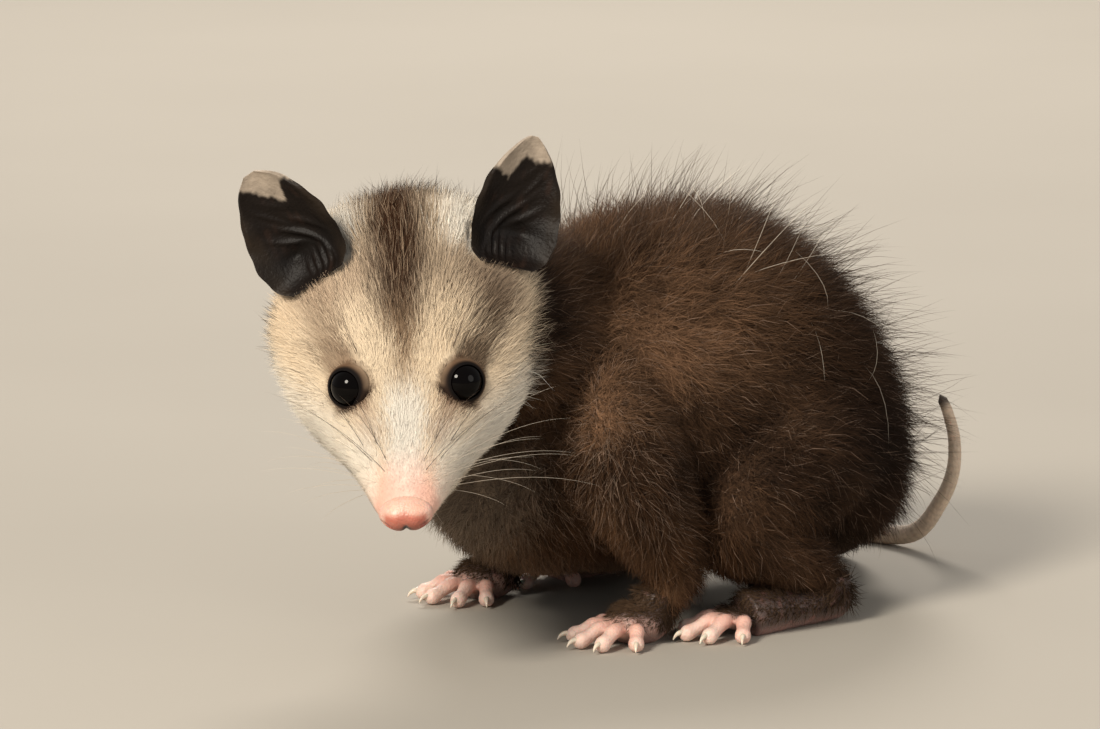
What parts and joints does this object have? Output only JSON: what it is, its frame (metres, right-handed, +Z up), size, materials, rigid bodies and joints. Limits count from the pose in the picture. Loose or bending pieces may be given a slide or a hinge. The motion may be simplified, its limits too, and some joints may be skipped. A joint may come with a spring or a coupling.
{
  "type": "opossum model",
  "caption": "Young opossum crouching on four feet with its head turned to its left, a shaggy coat, cupped thin ears and a bare folded tail.",
  "frame": {"origin": "the bottom centre of the bounding box, on the floor between the feet", "axes": "+X from chest to rump, along the body; +Z up; the animal's left flank faces -Y"},
  "size_m": [0.18, 0.1118, 0.1069],
  "materials": {
    "dark_coat": "long shaggy fur, matt",
    "pale_coat": "short cream fur, matt",
    "pink_skin": "bare pink skin, slightly moist",
    "ear_leather": "thin dark skin with white tips",
    "tail_skin": "scaly bare skin",
    "black_eye": "wet gloss"
  },
  "bodies": {
    "root": {"ear_left": "ear_leather", "ear_right": "ear_leather", "eye_left": "black_eye", "eye_right": "black_eye", "forefoot_left": "pink_skin", "forefoot_right": "pink_skin", "foreleg_left": "dark_coat", "foreleg_right": "dark_coat", "head": "pale_coat", "hindfoot_left": "pink_skin", "hindfoot_right": "pink_skin", "hindleg_left": "dark_coat", "hindleg_right": "dark_coat", "lower_jaw": "pale_coat", "neck": "dark_coat", "nose": "pink_skin", "tail_base": "tail_skin", "tail_bend": "tail_skin", "tail_end": "tail_skin", "tail_middle": "tail_skin", "tail_root": "dark_coat", "tail_tip": "tail_skin", "torso": "dark_coat"}
  },
  "joints": []
}
